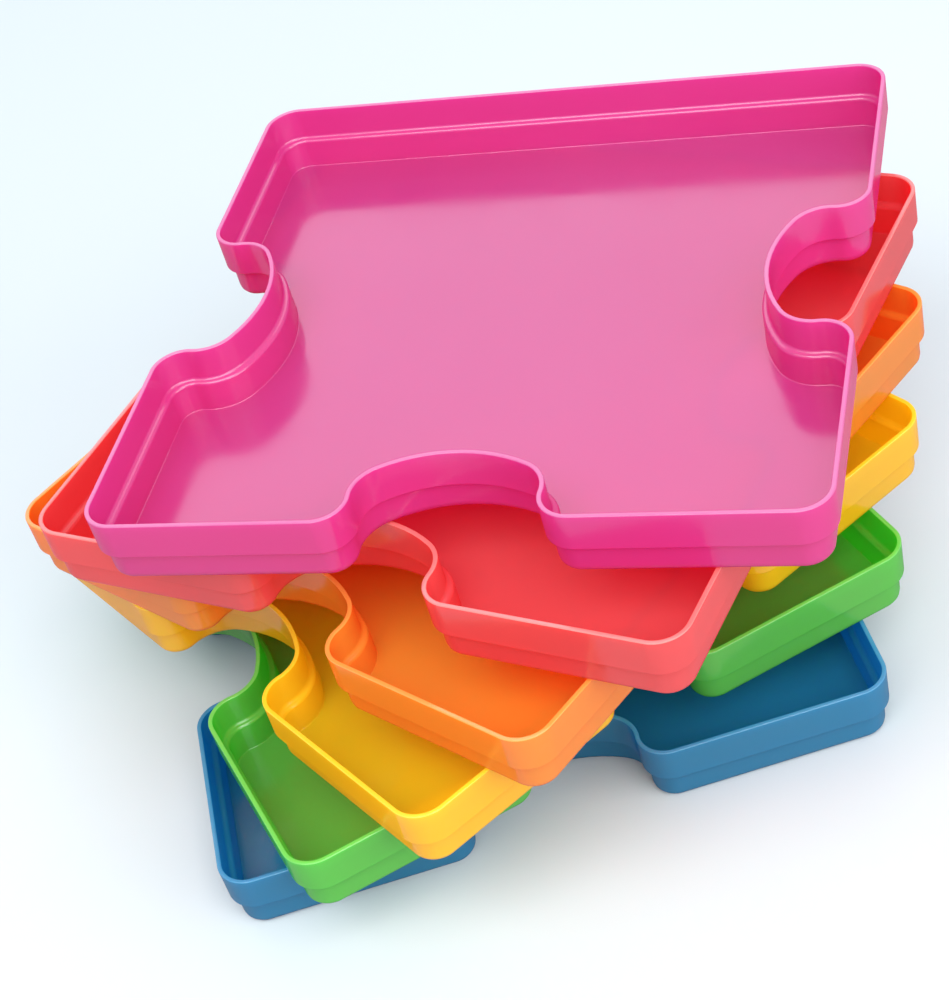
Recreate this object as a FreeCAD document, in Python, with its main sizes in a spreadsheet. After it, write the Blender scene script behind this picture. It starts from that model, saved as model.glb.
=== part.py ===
import FreeCAD, Part
import math
import os

import Sketcher

# Six jigsaw-shaped sorting trays from one mould, fanned out in a stack.
#
# Each tray is one open moulding: a flat floor and a stepped wall that follows a
# square plan with a jigsaw notch in three of its sides. The lower half of the
# wall stands in by the wall's thickness and a little play, so that trays turned
# the same way drop into each other until the shoulder sits on the rim below.
# Here each tray is turned and shifted a little against the one under it, so its
# flat base rests on the rim of the tray below.
#
# Units are millimetres and degrees, +Z is up, and the origin is the middle of the
# bottom tray's underside. X and Y run along the sides of the top tray, and the
# top tray's straight side faces +Y.

SIZES = {
    # Plan outline of the rim, outside of the wall
    "tray_side": 250,
    "corner_radius": 12,
    "notch_depth": 32,
    "notch_width": 63,
    "notch_crown_radius": 50,
    "notch_pocket_radius": 13,
    "notch_lip_radius": 11.5,
    # Section of the wall and floor
    "tray_height": 27,
    "shoulder_height": 12,
    "shoulder_slope": 0.8,
    "wall_thickness": 1.6,
    "floor_thickness": 1.8,
    "nest_clearance": 0.6,
    "base_bevel": 2.4,
    # How the stack is fanned out: each tray's turn, and its shift from the bottom tray
    "blue_turn": -66.6,
    "green_turn": -51.8,
    "green_shift_x": -4.7,
    "green_shift_y": -1.8,
    "yellow_turn": -37.6,
    "yellow_shift_x": 1,
    "yellow_shift_y": -2.9,
    "orange_turn": -26.9,
    "orange_shift_x": 10.1,
    "orange_shift_y": -0.1,
    "coral_turn": -13.9,
    "coral_shift_x": 23.1,
    "coral_shift_y": 0.6,
    "pink_shift_x": 36.3,
    "pink_shift_y": 5.1,
}

# The trays from the bottom up: name, turn, shift along X and shift along Y
TRAYS = [
    ("blue_tray", "Sizes.blue_turn", "0", "0"),
    ("green_tray", "Sizes.green_turn", "Sizes.green_shift_x", "Sizes.green_shift_y"),
    ("yellow_tray", "Sizes.yellow_turn", "Sizes.yellow_shift_x", "Sizes.yellow_shift_y"),
    ("orange_tray", "Sizes.orange_turn", "Sizes.orange_shift_x", "Sizes.orange_shift_y"),
    ("coral_tray", "Sizes.coral_turn", "Sizes.coral_shift_x", "Sizes.coral_shift_y"),
    ("pink_tray", "0", "Sizes.pink_shift_x", "Sizes.pink_shift_y"),
]

# The wall's section, outside and inside, from the rim down. Each level has a name,
# a height above the underside, and how far its outline stands in from the rim's.
STEP_IN = "(Sizes.wall_thickness + Sizes.nest_clearance)"
OUTSIDE = [
    ("Rim", "Sizes.tray_height", "0"),
    ("ShoulderTop", "Sizes.shoulder_height + Sizes.shoulder_slope", "0"),
    ("Shoulder", "Sizes.shoulder_height", STEP_IN),
    ("Foot", "Sizes.base_bevel", STEP_IN),
    ("Base", "0", STEP_IN + " + Sizes.base_bevel"),
]
INSIDE = [
    ("Mouth", "Sizes.tray_height", "Sizes.wall_thickness"),
    ("LedgeTop", "Sizes.shoulder_height + Sizes.shoulder_slope + Sizes.wall_thickness",
     "Sizes.wall_thickness"),
    ("Ledge", "Sizes.shoulder_height + Sizes.wall_thickness",
     STEP_IN + " + Sizes.wall_thickness"),
    ("Floor", "Sizes.floor_thickness", STEP_IN + " + Sizes.wall_thickness"),
]

# Which way a side of the plan faces, as its turn from the front, which faces -Y
FRONT = 0
RIGHT = 90
REAR = 180
LEFT = 270

# How a sketch numbers its own origin and axes, and the points of a line or an arc
ORIGIN, X_AXIS, Y_AXIS = (-1, 1), -1, -2
START, END, CENTRE = 1, 2, 3

doc = FreeCAD.newDocument("SortingTrays")
sheet = doc.addObject("Spreadsheet::Sheet", "Sizes")
for row, (alias, number) in enumerate(SIZES.items(), start=1):
    sheet.set("A%d" % row, alias)
    sheet.set("B%d" % row, str(number))
    sheet.setAlias("B%d" % row, alias)
doc.recompute()


def value(expression):
    """The number that an expression of the sheet's sizes stands for."""
    return float(sheet.evalExpression(expression))


def carried(x, y, turn):
    """A plan point given for the front side, carried round to another side."""
    angle = math.radians(turn)
    return FreeCAD.Vector(x * math.cos(angle) - y * math.sin(angle),
                          x * math.sin(angle) + y * math.cos(angle), 0)


class Outline:
    """A closed plan outline, standing in from the rim's outline by an inset.

    It is drawn anticlockwise as lines and arcs, each tangent to the next. Every arc
    keeps its centre at every inset, so the wall has one thickness all round.
    """

    half_side = "Sizes.tray_side / 2"
    crown_centre = "Sizes.tray_side / 2 - Sizes.notch_depth + Sizes.notch_crown_radius"
    pocket_spacing = "Sizes.notch_width - 2 * Sizes.notch_pocket_radius"

    def __init__(self, body, name, height, inset):
        plane = next(item for item in body.Origin.OriginFeatures if item.Role == "XY_Plane")
        self.sketch = body.newObject("Sketcher::SketchObject", name)
        self.sketch.AttachmentSupport = [(plane, "")]
        self.sketch.MapMode = "FlatFace"
        self.sketch.setExpression("AttachmentOffset.Base.z", height)

        self.inset = inset
        self.runs = []
        self.ends = []
        self.rules = []
        self.sized_rules = []
        self.first_arc = {}
        self.work_out_arcs()
        for turn in (FRONT, RIGHT, REAR, LEFT):
            self.draw_side(turn)
            self.draw_corner(turn)
        self.join_runs()

        self.sketch.addGeometry(self.runs, False)
        self.sketch.addConstraint(self.rules)
        for number, expression in self.sized_rules:
            self.sketch.setExpression("Constraints[%d]" % number, expression)

    def work_out_arcs(self):
        """Radii at this inset, and where the centres lie: out from the middle, and aside."""
        inset = value(self.inset)
        self.half = value(self.half_side) - inset
        self.corner = value("Sizes.corner_radius") - inset
        self.lip = value("Sizes.notch_lip_radius") - inset
        self.pocket = value("Sizes.notch_pocket_radius") + inset
        self.crown = value("Sizes.notch_crown_radius") + inset
        self.crown_out = value(self.crown_centre)
        self.pocket_aside = value(self.pocket_spacing) / 2
        self.pocket_out = self.crown_out - math.sqrt(
            (self.crown - self.pocket) ** 2 - self.pocket_aside ** 2)
        self.lip_out = self.half - self.lip
        self.lip_aside = self.pocket_aside + math.sqrt(
            (self.pocket + self.lip) ** 2 - (self.pocket_out - self.lip_out) ** 2)

    def draw_side(self, turn):
        """The straight rear side, or a side with its notch, as far as the next corner."""
        reach = self.half - self.corner
        if turn == REAR:
            self.add_line(-reach, reach, turn)
            return
        self.add_line(-reach, -self.lip_aside, turn)
        self.draw_notch(turn)
        self.add_line(self.lip_aside, reach, turn)

    def draw_notch(self, turn):
        """The socket of a jigsaw piece: lip, pocket, crown, pocket and lip."""
        lean = math.degrees(math.atan2(self.lip_out - self.pocket_out,
                                       self.lip_aside - self.pocket_aside))
        spread = math.degrees(math.atan2(self.pocket_aside, self.crown_out - self.pocket_out))
        lip_sweep = 90 + lean
        pocket_sweep = spread - 90 - lean
        self.add_arc("notch_lip_radius", self.lip, -self.lip_aside, self.lip_out,
                     -90, lip_sweep, turn)
        near = self.add_arc("notch_pocket_radius", self.pocket, -self.pocket_aside,
                            self.pocket_out, 180 + lean, pocket_sweep, turn)
        crown = self.add_arc("notch_crown_radius", self.crown, 0, self.crown_out,
                             90 + spread, -2 * spread, turn)
        far = self.add_arc("notch_pocket_radius", self.pocket, self.pocket_aside,
                           self.pocket_out, 90 - spread, pocket_sweep, turn)
        self.add_arc("notch_lip_radius", self.lip, self.lip_aside, self.lip_out,
                     180 - lean, lip_sweep, turn)

        middle_line, apart = (Y_AXIS, "DistanceX") if turn == FRONT else (X_AXIS, "DistanceY")
        first, second = (far, near) if turn == LEFT else (near, far)
        self.rules.append(
            Sketcher.Constraint("Symmetric", near, CENTRE, far, CENTRE, middle_line))
        self.add_size(self.pocket_spacing, apart, first, CENTRE, second, CENTRE)
        self.keep_out(crown, CENTRE, turn, self.crown_centre)

    def draw_corner(self, turn):
        """The rounded corner at the end of a side."""
        reach = self.half - self.corner
        self.add_arc("corner_radius", self.corner, reach, reach, -90, 90, turn)

    def add_line(self, begin, end, turn):
        """A straight run along a side, kept level and at the side's distance out."""
        line = len(self.runs)
        self.runs.append(Part.LineSegment(carried(begin, -self.half, turn),
                                          carried(end, -self.half, turn)))
        self.ends.append((START, END))
        level = "Horizontal" if turn in (FRONT, REAR) else "Vertical"
        self.rules.append(Sketcher.Constraint(level, line))
        self.keep_out(line, START, turn, "%s - (%s)" % (self.half_side, self.inset))

    def add_arc(self, size, radius, aside, out, begin, sweep, turn):
        """An arc with one of the sheet's radii; a negative sweep runs clockwise."""
        arc = len(self.runs)
        circle = Part.Circle(carried(aside, -out, turn), FreeCAD.Vector(0, 0, 1), radius)
        low, high = sorted((begin, begin + sweep))
        self.runs.append(
            Part.ArcOfCircle(circle, math.radians(low + turn), math.radians(high + turn)))
        self.ends.append((START, END) if sweep > 0 else (END, START))
        if size in self.first_arc:
            self.rules.append(Sketcher.Constraint("Equal", self.first_arc[size], arc))
        else:
            self.first_arc[size] = arc
            sign = "-" if sweep > 0 else "+"
            self.add_size("Sizes.%s %s (%s)" % (size, sign, self.inset), "Radius", arc)
        return arc

    def add_size(self, expression, kind, *points):
        """A dimension, tied to the sheet."""
        self.sized_rules.append((len(self.rules), expression))
        self.rules.append(Sketcher.Constraint(kind, *points, value(expression)))

    def keep_out(self, run, point, turn, expression):
        """Holds a point at its distance from the middle, towards the side that turn names."""
        kind = "DistanceY" if turn in (FRONT, REAR) else "DistanceX"
        points = (run, point, *ORIGIN) if turn in (FRONT, LEFT) else (*ORIGIN, run, point)
        self.add_size(expression, kind, *points)

    def join_runs(self):
        """Each run ends where the next one begins, in the same direction."""
        for run, (_, leave) in enumerate(self.ends):
            after = (run + 1) % len(self.ends)
            enter = self.ends[after][0]
            self.rules.append(Sketcher.Constraint("Tangent", run, leave, after, enter))


def loft(body, kind, name, levels):
    """A solid, or a hollow, with straight walls from each level's outline to the next."""
    sketches = [Outline(body, level, height, inset).sketch for level, height, inset in levels]
    feature = body.newObject("PartDesign::" + kind, name)
    feature.Profile = (sketches[0], [""])
    feature.Sections = [(sketch, [""]) for sketch in sketches[1:]]
    feature.Ruled = True
    return feature


def tray(name, level, turn, shift_x, shift_y):
    """One tray, set down on the rim of the tray below it."""
    body = doc.addObject("PartDesign::Body", name)
    body.Label = name
    loft(body, "AdditiveLoft", "Block", OUTSIDE)
    loft(body, "SubtractiveLoft", "Hollow", INSIDE)
    body.setExpression(
        "Placement",
        "create(<<placement>>; create(<<vector>>; %s; %s; %d * Sizes.tray_height); "
        "create(<<rotation>>; create(<<vector>>; 0; 0; 1); %s))" % (shift_x, shift_y, level, turn))
    return body


trays = [tray(name, level, *place) for level, (name, *place) in enumerate(TRAYS)]
doc.recompute()

for item in doc.Objects:
    if "Invalid" in item.State or "Error" in item.State:
        raise RuntimeError("%s did not build: %s" % (item.Label, item.State))
    if item.TypeId == "Sketcher::SketchObject" and not item.FullyConstrained:
        raise RuntimeError("%s is not fully constrained" % item.Label)

os.makedirs("parts", exist_ok=True)
for body in trays:
    if body.Shape.isNull() or not body.Shape.isValid() or len(body.Shape.Solids) != 1:
        raise RuntimeError("%s is not one valid solid" % body.Label)
    body.Shape.exportStep(os.path.join("parts", body.Label + ".step"))
    print("%s: %.0f cubic millimetres" % (body.Label, body.Shape.Volume))
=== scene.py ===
import math

import bmesh
import bpy
from mathutils import Matrix, Vector


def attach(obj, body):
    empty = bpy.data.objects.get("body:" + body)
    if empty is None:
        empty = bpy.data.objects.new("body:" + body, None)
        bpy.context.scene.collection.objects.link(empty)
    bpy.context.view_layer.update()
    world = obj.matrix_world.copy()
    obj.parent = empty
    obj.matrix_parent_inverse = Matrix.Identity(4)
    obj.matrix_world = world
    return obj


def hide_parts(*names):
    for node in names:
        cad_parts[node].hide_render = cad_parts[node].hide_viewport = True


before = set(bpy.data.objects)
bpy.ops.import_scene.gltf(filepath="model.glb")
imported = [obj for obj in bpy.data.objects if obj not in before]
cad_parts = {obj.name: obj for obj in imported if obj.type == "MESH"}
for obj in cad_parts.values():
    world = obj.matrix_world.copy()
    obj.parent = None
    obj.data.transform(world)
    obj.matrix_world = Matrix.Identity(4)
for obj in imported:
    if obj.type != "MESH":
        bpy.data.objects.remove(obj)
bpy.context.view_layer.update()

# The trays: six of one shape, each injection moulded in one piece of glossy coloured polystyrene.
# A thin wall runs round a flat floor and steps in below mid-height, so that trays can nest, and
# three of its sides have a jigsaw notch. Nothing fixes them: each stands on the rim of the one below.
MM = 0.001

RIM_HEIGHT = 27 * MM
SHOULDER_HEIGHT = 12 * MM
SHOULDER_SLOPE = 0.8 * MM
WALL = 1.6 * MM
FLOOR = 1.8 * MM
STEP_IN = 2.2 * MM
DRAFT = math.tan(math.radians(0.8))

# How far each rounding starts from its corner, and the steps it is made in
RIM_ROUNDING = 0.35 * MM
SHOULDER_ROUNDING = 0.45 * MM
LEDGE_ROUNDING = 0.9 * MM
BASE_ROUNDING = 3.4 * MM
FLOOR_ROUNDING = 0.4 * MM
ROUNDING_STEPS = 4

# The plan: half a side, a corner, and a notch of lip, pocket, crown, pocket and lip. OUT is measured
# from the middle of the tray towards the side, and ASIDE along the side from the middle of the notch
HALF_SIDE = 125 * MM
CORNER_RADIUS = 12 * MM
LIP_RADIUS = 11.5 * MM
POCKET_RADIUS = 13 * MM
CROWN_RADIUS = 50 * MM
POCKET_ASIDE = 18.5 * MM
CROWN_OUT = 143 * MM
POCKET_OUT = CROWN_OUT - math.sqrt((CROWN_RADIUS - POCKET_RADIUS) ** 2 - POCKET_ASIDE ** 2)
LIP_OUT = HALF_SIDE - LIP_RADIUS
LIP_ASIDE = POCKET_ASIDE + math.sqrt(
    (POCKET_RADIUS + LIP_RADIUS) ** 2 - (LIP_OUT - POCKET_OUT) ** 2)
LEAN = math.atan2(LIP_OUT - POCKET_OUT, LIP_ASIDE - POCKET_ASIDE)
SPREAD = math.atan2(POCKET_ASIDE, CROWN_OUT - POCKET_OUT)

# A bend is made in steps of about this angle, and in six at the least
FACET = math.radians(4.5)
FEWEST_STEPS = 6

# The wall's section takes in a strip of the floor, and the rest of the floor is filled in. Vertices
# nearer to each other than the second length are one
FLOOR_STRIP = 6 * MM
SAME_PLACE = 0.01 * MM


def wall_section(tray):
    """The wall cut across at the left end of the front side, as an open line with rounded corners."""
    corners = [
        (STEP_IN + FLOOR_STRIP, 0, 0),
        (STEP_IN, 0, BASE_ROUNDING),
        (STEP_IN, SHOULDER_HEIGHT, SHOULDER_ROUNDING),
        (0, SHOULDER_HEIGHT + SHOULDER_SLOPE, SHOULDER_ROUNDING),
        (0, RIM_HEIGHT, RIM_ROUNDING),
        (WALL, RIM_HEIGHT, RIM_ROUNDING),
        (WALL, SHOULDER_HEIGHT + SHOULDER_SLOPE + WALL, LEDGE_ROUNDING),
        (STEP_IN + WALL, SHOULDER_HEIGHT + WALL, LEDGE_ROUNDING),
        (STEP_IN + WALL, FLOOR, FLOOR_ROUNDING),
        (STEP_IN + FLOOR_STRIP, FLOOR, 0),
    ]
    begin = CORNER_RADIUS - HALF_SIDE
    line = []
    for inset, height, _ in corners:
        tapered = inset + (RIM_HEIGHT - height) * DRAFT
        line.append(tray.verts.new((begin, tapered - HALF_SIDE, height)))
    for vert, after in zip(line, line[1:]):
        tray.edges.new((vert, after))
    for vert, (_, _, rounding) in zip(line, corners):
        if rounding:
            bmesh.ops.bevel(tray, geom=[vert], offset=rounding, offset_type="OFFSET",
                            segments=ROUNDING_STEPS, profile=0.5, affect="VERTICES", material=-1)
    return tray.verts[:] + tray.edges[:]


def straight(tray, wall, length, turn):
    """Carries the wall's section straight along a side."""
    edges = [part for part in wall if isinstance(part, bmesh.types.BMEdge)]
    made = bmesh.ops.extrude_edge_only(tray, edges=edges)["geom"]
    verts = [part for part in made if isinstance(part, bmesh.types.BMVert)]
    way = Matrix.Rotation(turn, 3, "Z") @ Vector((length, 0, 0))
    bmesh.ops.translate(tray, verts=verts, vec=way)
    return [part for part in made if not isinstance(part, bmesh.types.BMFace)]


def bend(tray, wall, aside, out, sweep, turn):
    """Carries the wall's section round a bend, whose centre is given from the middle of the tray."""
    centre = Matrix.Rotation(turn, 3, "Z") @ Vector((aside, -out, 0))
    made = bmesh.ops.spin(tray, geom=wall, cent=centre, axis=(0, 0, 1), dvec=(0, 0, 0),
                          angle=sweep, steps=max(FEWEST_STEPS, round(abs(sweep) / FACET)),
                          use_merge=False, use_normal_flip=False, use_duplicate=False)
    return made["geom_last"]


def notched_side(tray, wall, turn):
    """A side of the plan with its notch: lip, pocket, crown, pocket and lip."""
    run = HALF_SIDE - CORNER_RADIUS - LIP_ASIDE
    lip = math.pi / 2 + LEAN
    pocket = SPREAD - math.pi / 2 - LEAN
    wall = straight(tray, wall, run, turn)
    wall = bend(tray, wall, -LIP_ASIDE, LIP_OUT, lip, turn)
    wall = bend(tray, wall, -POCKET_ASIDE, POCKET_OUT, pocket, turn)
    wall = bend(tray, wall, 0, CROWN_OUT, -2 * SPREAD, turn)
    wall = bend(tray, wall, POCKET_ASIDE, POCKET_OUT, pocket, turn)
    wall = bend(tray, wall, LIP_ASIDE, LIP_OUT, lip, turn)
    return straight(tray, wall, run, turn)


def moulded_tray():
    """One tray at the middle of the frame: the wall carried round the plan, and the floor filled in.
    The faces of the rim take the second material, a paler copy of the plastic whose colour is painted
    edge glow."""
    tray = bmesh.new()
    wall = wall_section(tray)
    reach = HALF_SIDE - CORNER_RADIUS
    for side in range(4):
        turn = side * math.pi / 2
        if side == 2:
            wall = straight(tray, wall, 2 * reach, turn)
        else:
            wall = notched_side(tray, wall, turn)
        wall = bend(tray, wall, reach, reach, math.pi / 2, turn)
    bmesh.ops.remove_doubles(tray, verts=tray.verts[:], dist=SAME_PLACE)
    bmesh.ops.holes_fill(tray, edges=[edge for edge in tray.edges if edge.is_boundary], sides=0)
    bmesh.ops.recalc_face_normals(tray, faces=tray.faces[:])
    for face in tray.faces:
        face.smooth = True
        # The rim's faces get the second material, whose paler colour is painted edge glow
        face.material_index = int(face.calc_center_median().z > RIM_HEIGHT - RIM_ROUNDING)
    return tray


def linear(colour):
    """The linear value of an sRGB hex colour."""
    parts = [int(colour[start:start + 2], 16) / 255 for start in (1, 3, 5)]
    return [c / 12.92 if c <= 0.04045 else ((c + 0.055) / 1.055) ** 2.4 for c in parts] + [1]


def add(tree, kind, inputs=None, **settings):
    """Adds a node with its settings; an input is given a value, or a socket to be linked from."""
    node = tree.nodes.new(kind)
    for name, value in settings.items():
        setattr(node, name, value)
    for name, value in (inputs or {}).items():
        if isinstance(value, bpy.types.NodeSocket):
            tree.links.new(value, node.inputs[name])
        else:
            node.inputs[name].default_value = value
    return node


# What varies in the plastic: clouds of pigment, smudges and waves are about this long. The share of
# the light that comes through is the same everywhere
CLOUD = 60 * MM
SMUDGE = 25 * MM
WAVE = 30 * MM
WAVE_DEPTH = 0.03 * MM
LIGHT_THROUGH = 0.5


def polystyrene(name, colour, deep, through):
    """Coloured polystyrene from a polished mould: a hard clear gloss over a body thin enough for
    light to come through, so that walls and floors in shade still look lit from within. Shrinkage
    leaves the gloss faintly wavy, and handling dulls it in places."""
    material = bpy.data.materials.new(name)
    material.use_nodes = True
    tree = material.node_tree
    shader = tree.nodes["Principled BSDF"]
    shader.inputs["IOR"].default_value = 1.59
    # Twice the usual level, because this shader has only half of the surface: the rest is the light
    # that comes through, which has no gloss
    shader.inputs["Specular IOR Level"].default_value = 1
    place = add(tree, "ShaderNodeTexCoord").outputs["Object"]

    # Pigment is never mixed quite evenly: clouds a few centimetres across, between two close shades
    clouds = add(tree, "ShaderNodeTexNoise", {"Vector": place, "Scale": 1 / CLOUD, "Detail": 2})
    shade = add(tree, "ShaderNodeMix", {"Factor": clouds.outputs["Fac"]}, data_type="RGBA")
    shade.inputs["A"].default_value = linear(deep)
    shade.inputs["B"].default_value = linear(colour)
    tree.links.new(shade.outputs["Result"], shader.inputs["Base Color"])

    # Smudges of handling
    smudges = add(tree, "ShaderNodeTexNoise", {"Vector": place, "Scale": 1 / SMUDGE, "Detail": 2})
    gloss = add(tree, "ShaderNodeMapRange", {"Value": smudges.outputs["Fac"], "From Min": 0.35,
                                             "From Max": 0.7, "To Min": 0.12, "To Max": 0.2})
    tree.links.new(gloss.outputs["Result"], shader.inputs["Roughness"])

    # Waves of shrinkage, long and a few hundredths of a millimetre deep
    waves = add(tree, "ShaderNodeTexNoise", {"Vector": place, "Scale": 1 / WAVE, "Detail": 1})
    relief = add(tree, "ShaderNodeBump", {"Height": waves.outputs["Fac"], "Strength": 1,
                                          "Distance": WAVE_DEPTH})
    tree.links.new(relief.outputs["Normal"], shader.inputs["Normal"])

    # Half of the light that falls on a face comes through, deeper in colour, and all of what has
    # entered by one face leaves by the other
    lit = add(tree, "ShaderNodeBsdfTranslucent", {"Color": linear(through)})
    inside = add(tree, "ShaderNodeNewGeometry").outputs["Backfacing"]
    share = add(tree, "ShaderNodeMath", {0: inside, 1: LIGHT_THROUGH}, operation="MAXIMUM")
    both = add(tree, "ShaderNodeMixShader", {0: share.outputs[0], 1: shader.outputs["BSDF"],
                                             2: lit.outputs["BSDF"]})
    surface = tree.nodes["Material Output"].inputs["Surface"]
    tree.links.new(both.outputs["Shader"], surface)
    return material


# From the bottom up: colour, turn, shift in millimetres, the plastic's two close shades, the colour
# of the light that comes through it, and the rim's paler colour, which is painted edge glow: it
# stands in for light that has travelled inside the wall and leaves it at the rim
TRAYS = [
    ("blue", -66.6, (0, 0), "#3496C4", "#3090BE", "#1C90C4", "#64B4D8"),
    ("green", -51.8, (-4.7, -1.8), "#74DA5A", "#6ED454", "#30D444", "#98E47E"),
    ("yellow", -37.6, (1, -2.9), "#FFE22A", "#FFDC24", "#FFCA1C", "#FFEC50"),
    ("orange", -26.9, (10.1, -0.1), "#E8AE40", "#E6A83A", "#FF681A", "#FCC266"),
    ("coral", -13.9, (23.1, 0.6), "#DA6466", "#D75E60", "#FC3A3E", "#F4B0A8"),
    ("pink", 0, (36.3, 5.1), "#D1489B", "#CE4295", "#E82C94", "#D68CB8"),
]
moulding = bpy.data.meshes.new("moulding")
tray = moulded_tray()
tray.to_mesh(moulding)
tray.free()
for below, (colour, turn, shift, pale, deep, through, rim) in enumerate(TRAYS):
    mesh = moulding.copy()
    mesh.name = "moulded_tray_" + colour
    stand = Vector((shift[0] * MM, shift[1] * MM, below * RIM_HEIGHT))
    mesh.transform(Matrix.Translation(stand) @ Matrix.Rotation(math.radians(turn), 4, "Z"))
    piece = bpy.data.objects.new("moulded_tray_" + colour, mesh)
    bpy.context.collection.objects.link(piece)
    mesh.materials.append(polystyrene(colour + "_polystyrene", pale, deep, through))
    # The rim's material has paler colours in every slot: painted edge glow, standing in for light
    # that leaves the wall at the rim
    mesh.materials.append(polystyrene(colour + "_polystyrene_rim_painted_glow", rim, pale, rim))
    piece.modifiers.new("even shading", "WEIGHTED_NORMAL")
    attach(piece, colour + "_tray")
    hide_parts(colour + "_tray")

# The studio: a disc of pale matt card under the stack, far wider than the view. It is plain, so
# that only the stack's soft shadow and a little of its colour fall on it. It is clear from below
# and lies a hair higher than the lowest underside, so that the undersides can be looked at.
CARD_RADIUS = 1.2
CARD_LIFT = 0.05 * MM
card = bmesh.new()
bmesh.ops.create_circle(card, cap_ends=True, radius=CARD_RADIUS, segments=96,
                        matrix=Matrix.Translation((0, 0, CARD_LIFT)))
card_mesh = bpy.data.meshes.new("card")
card.to_mesh(card_mesh)
card.free()
card_sheet = bpy.data.objects.new("card", card_mesh)
bpy.context.collection.objects.link(card_sheet)
card_paper = bpy.data.materials.new("matt_card")
card_paper.use_nodes = True
paper_tree = card_paper.node_tree
paper = paper_tree.nodes["Principled BSDF"]
paper.inputs["Roughness"].default_value = 0.9
paper.inputs["Specular IOR Level"].default_value = 0.2
# A little paler to the camera than to the light it throws back at the trays
looked_at = add(paper_tree, "ShaderNodeLightPath").outputs["Is Camera Ray"]
tone = add(paper_tree, "ShaderNodeMix", {"Factor": looked_at}, data_type="RGBA")
tone.inputs["A"].default_value = linear("#A8ACB0")
tone.inputs["B"].default_value = linear("#C3CBCE")
paper_tree.links.new(tone.outputs["Result"], paper.inputs["Base Color"])
from_below = add(paper_tree, "ShaderNodeNewGeometry").outputs["Backfacing"]
clear = add(paper_tree, "ShaderNodeBsdfTransparent").outputs["BSDF"]
one_way = add(paper_tree, "ShaderNodeMixShader", {0: from_below, 1: paper.outputs["BSDF"], 2: clear})
paper_tree.links.new(one_way.outputs["Shader"], paper_tree.nodes["Material Output"].inputs["Surface"])
card_mesh.materials.append(card_paper)

# The light of the room, white and even. What is seen straight on, in a gloss or through something
# clear is plain white, and the trays are lit by a little over half of that.
ROOM_LIGHT = 0.55
room = bpy.data.worlds.new("room")
bpy.context.scene.world = room
room.use_nodes = True
room_tree = room.node_tree
ray = add(room_tree, "ShaderNodeLightPath").outputs
seen = add(room_tree, "ShaderNodeMath", {0: ray["Is Camera Ray"], 1: ray["Is Glossy Ray"]},
           operation="MAXIMUM")
seen = add(room_tree, "ShaderNodeMath", {0: seen.outputs[0], 1: ray["Is Transmission Ray"]},
           operation="MAXIMUM")
strength = add(room_tree, "ShaderNodeMapRange",
               {"Value": seen.outputs[0], "To Min": ROOM_LIGHT, "To Max": 1.0})
background = room_tree.nodes["Background"]
background.inputs["Color"].default_value = linear("#F4F8FF")
room_tree.links.new(strength.outputs["Result"], background.inputs["Strength"])

# Four softboxes: a small key on the left, a broad one in front that reaches the lower floors, one on
# the right for the outer walls there, and one behind, which lies in the mirror of the glossy floors
# and whitens them. Place, width and height in metres, power in watts, and tint.
SOFTBOXES = [
    ("key", (-1.1, -1.0, 1.9), 1.2, 1.2, 8, "#FFFFFF"),
    ("rear", (-0.75, 1.7, 1.5), 2.4, 1.6, 24, "#E6F0FF"),
    ("front", (0.3, -1.25, 2.15), 2.4, 1.8, 70, "#FFFFFF"),
    ("side", (1.7, -0.9, 1.0), 2.0, 1.4, 34, "#FFFFFF"),
]
STACK_MIDDLE = Vector((0.02, 0, 0.08))
for name, place, width, height, power, tint in SOFTBOXES:
    lamp = bpy.data.lights.new(name, "AREA")
    lamp.shape = "RECTANGLE"
    lamp.size = width
    lamp.size_y = height
    lamp.energy = power
    lamp.color = linear(tint)[:3]
    softbox = bpy.data.objects.new(name, lamp)
    bpy.context.collection.objects.link(softbox)
    softbox.location = place
    softbox.rotation_euler = (STACK_MIDDLE - Vector(place)).to_track_quat("-Z", "Y").to_euler()
    softbox.visible_camera = False

# The camera looks down at 40 degrees from the front and a little from the right, and is held
# tilted, as the picture is.
CAMERA_PLACE = (0.2479, -0.5975, 0.6046)
CAMERA_ANGLES = (48.765, 12.376, 11.707)
lens = bpy.data.cameras.new("camera")
lens.lens = 78.48
lens.sensor_width = 36
lens.clip_start = 0.01
camera = bpy.data.objects.new("camera", lens)
bpy.context.collection.objects.link(camera)
camera.location = CAMERA_PLACE
camera.rotation_euler = [math.radians(angle) for angle in CAMERA_ANGLES]
bpy.context.scene.camera = camera
bpy.context.scene.view_settings.view_transform = "Standard"
